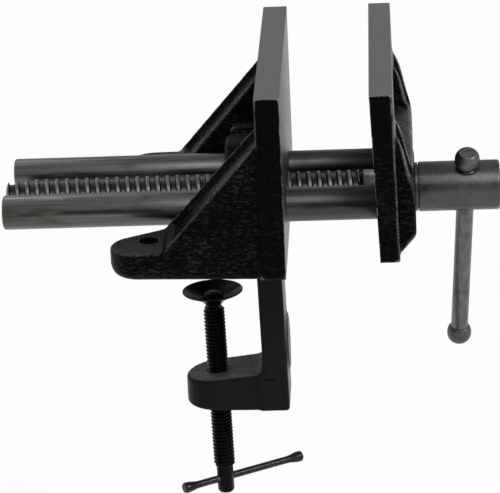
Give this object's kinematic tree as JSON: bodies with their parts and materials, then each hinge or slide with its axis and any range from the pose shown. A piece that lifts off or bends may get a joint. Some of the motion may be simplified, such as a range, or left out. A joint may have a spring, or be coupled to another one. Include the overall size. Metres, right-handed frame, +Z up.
{
  "type": "woodworking vise",
  "caption": "Clamp-on woodworking vise: cast jaws on guide rods, a screw with a sliding handle bar, screw-down lugs, and a bench clamp with a swivel pad and tommy bar.",
  "frame": {"origin": "on the flat underside of the fixed jaw that rests on the bench top, midway along the jaws, below the nut housing", "axes": "+Z up, +X along the guide rods from the fixed jaw to the handle, +Y along the jaws, away from the picture's viewer"},
  "size_m": [0.2249, 0.15, 0.2151],
  "materials": {
    "black_enamel": "black wrinkle enamel over cast iron, with bare machined edges and clamping faces",
    "turned_steel": "turned bare steel",
    "dark_steel": "black oxide",
    "bronze": "machined"
  },
  "bodies": {
    "fixed_frame": {"fixed_jaw": "black_enamel", "main_nut": "bronze", "nut_set_screw": "dark_steel"},
    "sliding_jaw": {"moving_jaw": "black_enamel", "guide_rod_near": "turned_steel", "guide_rod_far": "turned_steel", "rod_pin_near": "dark_steel", "rod_pin_far": "dark_steel"},
    "spindle": {"main_screw": "turned_steel", "screw_hub": "turned_steel", "hub_pin": "dark_steel", "thrust_washer": "dark_steel", "screw_collar": "dark_steel", "collar_pin": "dark_steel"},
    "handle": {"handle_bar": "turned_steel", "handle_knob_upper": "turned_steel", "handle_knob_lower": "turned_steel"},
    "swivel_pad": {"clamp_pad": "dark_steel"},
    "bench_screw": {"clamp_screw": "dark_steel", "pad_keeper": "turned_steel"},
    "tommy": {"clamp_bar": "dark_steel", "clamp_bar_end_near": "dark_steel", "clamp_bar_end_far": "dark_steel"}
  },
  "joints": [
    {"name": "jaw_slide", "type": "slide", "parent": "fixed_frame", "child": "sliding_jaw", "axis": [1, 0, 0], "range_m": [-0.0381, 0.0766]},
    {"name": "spindle_turn", "type": "hinge", "parent": "sliding_jaw", "child": "spindle", "pos_m": [0.0815, 0, 0.0161], "axis": [1, 0, 0], "range_deg": [-2982, 5995]},
    {"name": "handle_slide", "type": "slide", "parent": "spindle", "child": "handle", "axis": [0.0419, -0.3904, 0.9197], "range_m": [0, 0.0773]},
    {"name": "clamp_travel", "type": "slide", "parent": "fixed_frame", "child": "swivel_pad", "axis": [-0.0192, 0, 0.9998], "range_m": [-0.0316, 0.0303]},
    {"name": "clamp_turn", "type": "hinge", "parent": "swivel_pad", "child": "bench_screw", "pos_m": [-0.0142, 0, -0.0705], "axis": [-0.0192, 0, 0.9998], "range_deg": [-6464, 6198]},
    {"name": "clamp_bar_slide", "type": "slide", "parent": "bench_screw", "child": "tommy", "axis": [0.857, 0.515, 0.0165], "range_m": [-0.0303, 0.0113]}
  ],
  "couplings": [
    {"joint": "spindle_turn", "follows": "jaw_slide", "rad_per_m": 1365.9},
    {"joint": "clamp_turn", "follows": "clamp_travel", "rad_per_m": 3570}
  ]
}
